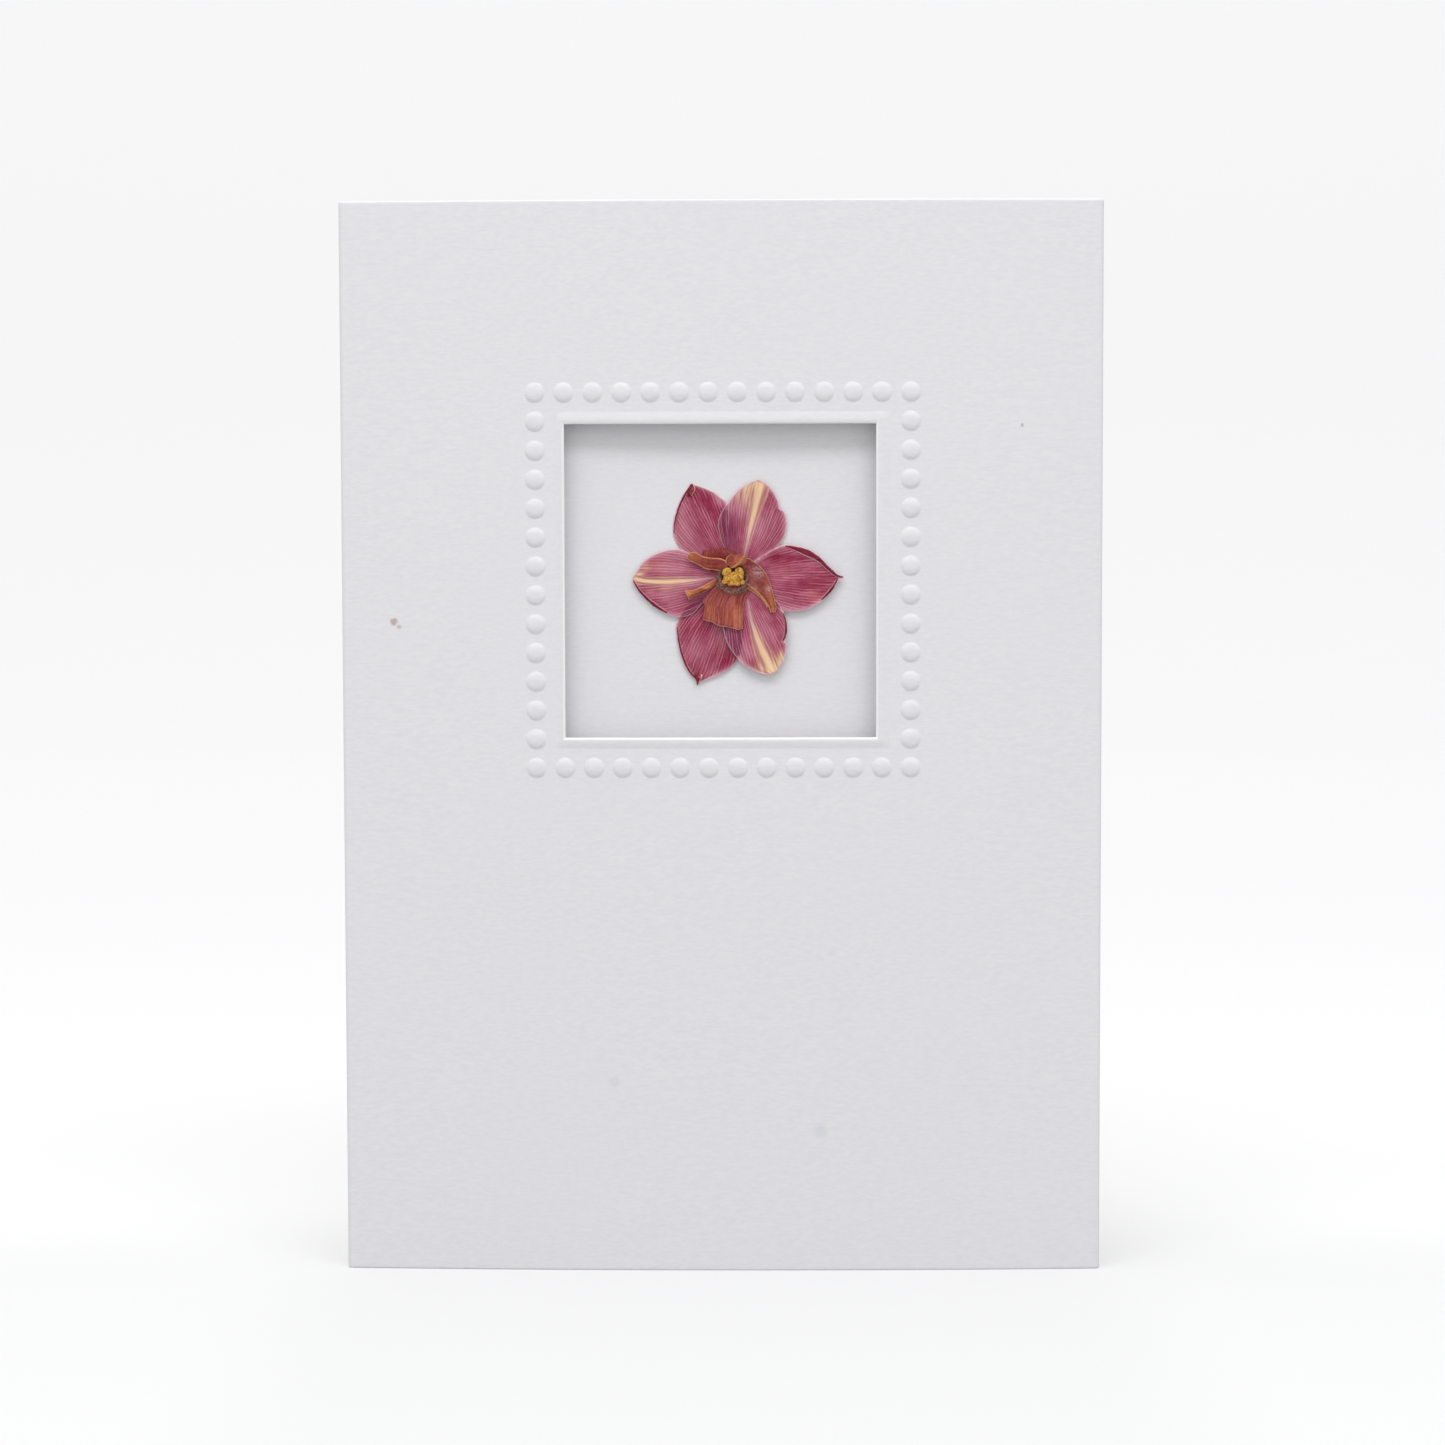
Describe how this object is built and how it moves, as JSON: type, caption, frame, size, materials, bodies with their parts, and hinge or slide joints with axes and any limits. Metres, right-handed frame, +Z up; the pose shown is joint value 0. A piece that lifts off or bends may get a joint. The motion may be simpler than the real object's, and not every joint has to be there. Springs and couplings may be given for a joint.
{
  "type": "greeting card",
  "caption": "Upright folded greeting card of plain white card, with a square window in a bevelled frame and dotted border, and a pressed flower on the inner flap behind the window.",
  "frame": {"origin": "middle of the card's box, on the surface that it stands on", "axes": "+Z up, the front panel faces -Y, +X to the viewer's right, and the back panel opens towards +Y"},
  "size_m": [0.105, 0.0548, 0.148],
  "materials": {
    "card": "uncoated matt card",
    "glue": "dried clear glue",
    "petal": "dried pressed petal",
    "trumpet": "dried pressed petal",
    "pollen": "dry pollen"
  },
  "bodies": {
    "root": {"folded_card": "card", "glue_dab": "glue", "petal_upper_left": "petal", "petal_upper_right": "petal", "petal_right": "petal", "petal_lower_right": "petal", "petal_lower_left": "petal", "petal_left": "petal", "trumpet": "trumpet", "anthers": "pollen"}
  },
  "joints": []
}
